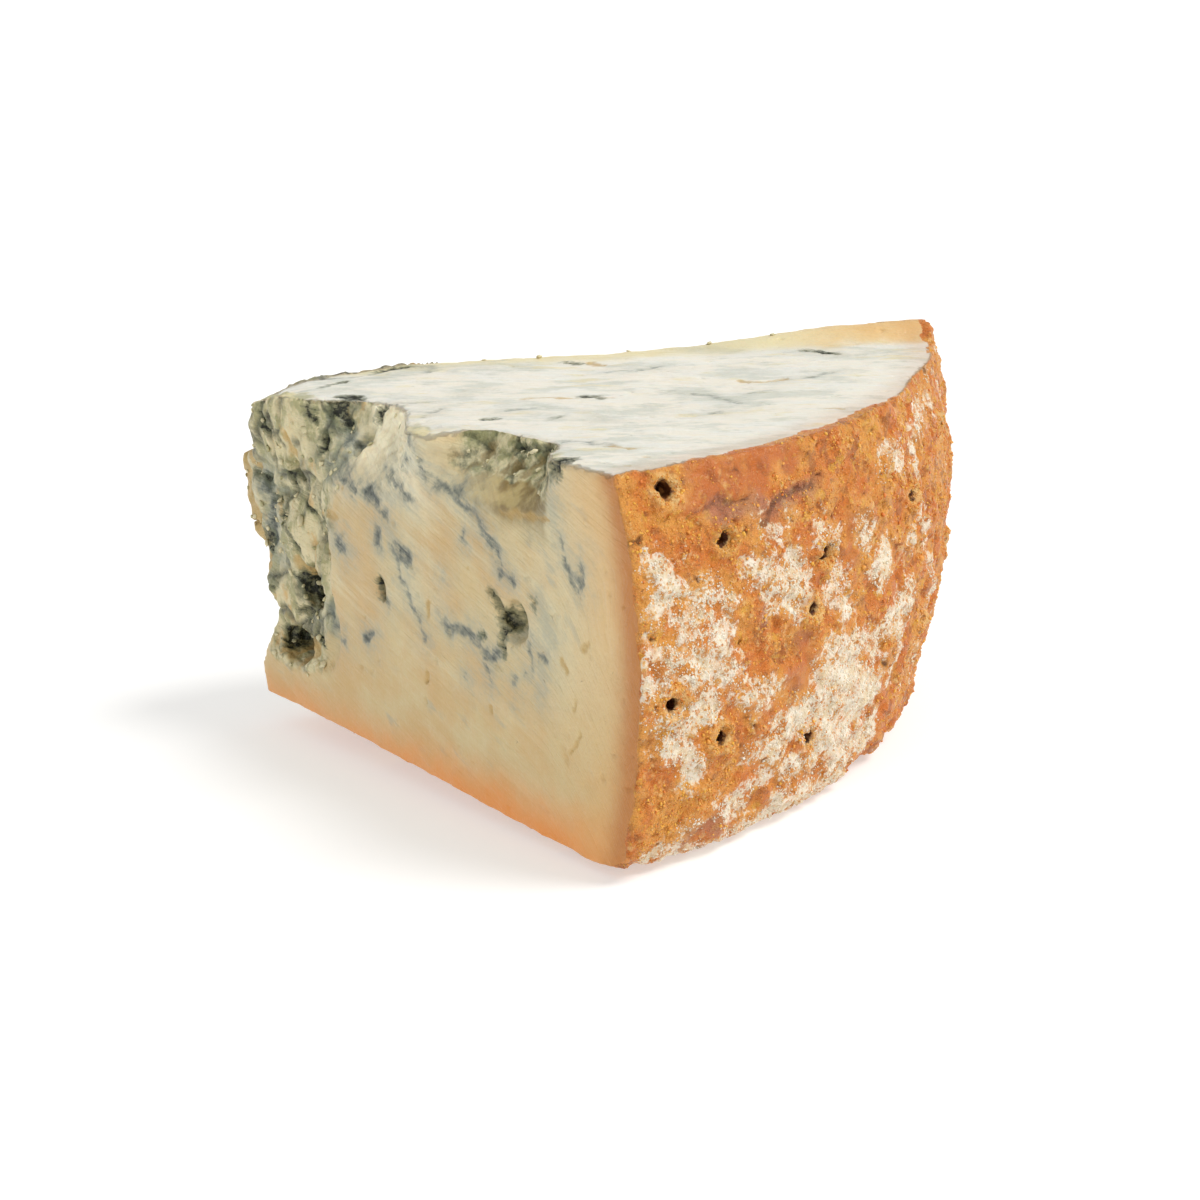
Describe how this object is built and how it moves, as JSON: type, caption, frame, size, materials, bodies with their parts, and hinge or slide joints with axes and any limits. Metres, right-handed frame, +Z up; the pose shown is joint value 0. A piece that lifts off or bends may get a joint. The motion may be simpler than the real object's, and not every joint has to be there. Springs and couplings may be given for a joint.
{
  "type": "blue cheese wedge",
  "caption": "Wedge of natural-rind blue cheese with a crumbled point, a torn top edge, mould veins and needle holes in the crusty curved rind.",
  "frame": {"origin": "middle of the box around the wedge, at the level of the base it rests on", "axes": "+Z up; the front cut face looks along -Y; the broken point is towards -X and the curved rind towards +X"},
  "size_m": [0.0926, 0.0872, 0.0484],
  "materials": {
    "cheese": "waxy cream paste with blue-green mould veins, and a granular orange-brown rind dusted with white mould"
  },
  "bodies": {
    "root": {"cheese_wedge": "cheese"}
  },
  "joints": []
}
